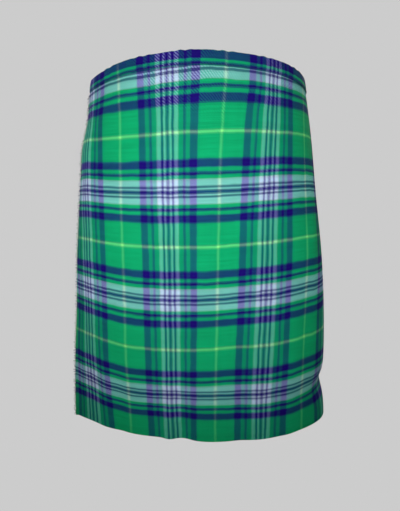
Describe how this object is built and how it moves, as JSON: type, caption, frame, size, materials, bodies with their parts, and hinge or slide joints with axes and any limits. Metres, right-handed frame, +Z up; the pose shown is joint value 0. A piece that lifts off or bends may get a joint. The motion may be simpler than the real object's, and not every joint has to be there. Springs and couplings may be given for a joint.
{
  "type": "scottish kilt",
  "caption": "Worn tartan kilt as a hollow form: overlapping front aprons, knife pleats behind, waistband, frayed apron edge and leather hip straps with buckles.",
  "frame": {"origin": "centre of the waist opening, halfway up the waistband, where the wearer's waist holds the kilt", "axes": "+Z up out of the waist, the front faces -Y, the wearer's left is +X"},
  "size_m": [0.4852, 0.316, 0.6354],
  "materials": {
    "tartan": "green, navy and white check in a 2/2 twill, soft matt nap",
    "waistband_tartan": "the same twill cut across its navy stripe",
    "frayed_edge": "loose yarn ends of the same cloth",
    "strap_leather": "black-brown leather, half matt, stitched",
    "buckle_metal": "nickel-bright steel wire"
  },
  "bodies": {
    "root": {"over_apron": "tartan", "over_apron_fringe": "frayed_edge", "under_apron": "tartan", "pleated_back": "tartan", "waistband": "waistband_tartan", "strap_right_waist": "strap_leather", "strap_right_hip": "strap_leather", "strap_left_waist": "strap_leather", "chape_right_waist": "strap_leather", "chape_right_hip": "strap_leather", "chape_left_waist": "strap_leather", "buckle_right_waist": "buckle_metal", "buckle_right_hip": "buckle_metal", "buckle_left_waist": "buckle_metal", "prong_right_waist": "buckle_metal", "prong_right_hip": "buckle_metal", "prong_left_waist": "buckle_metal"}
  },
  "joints": []
}
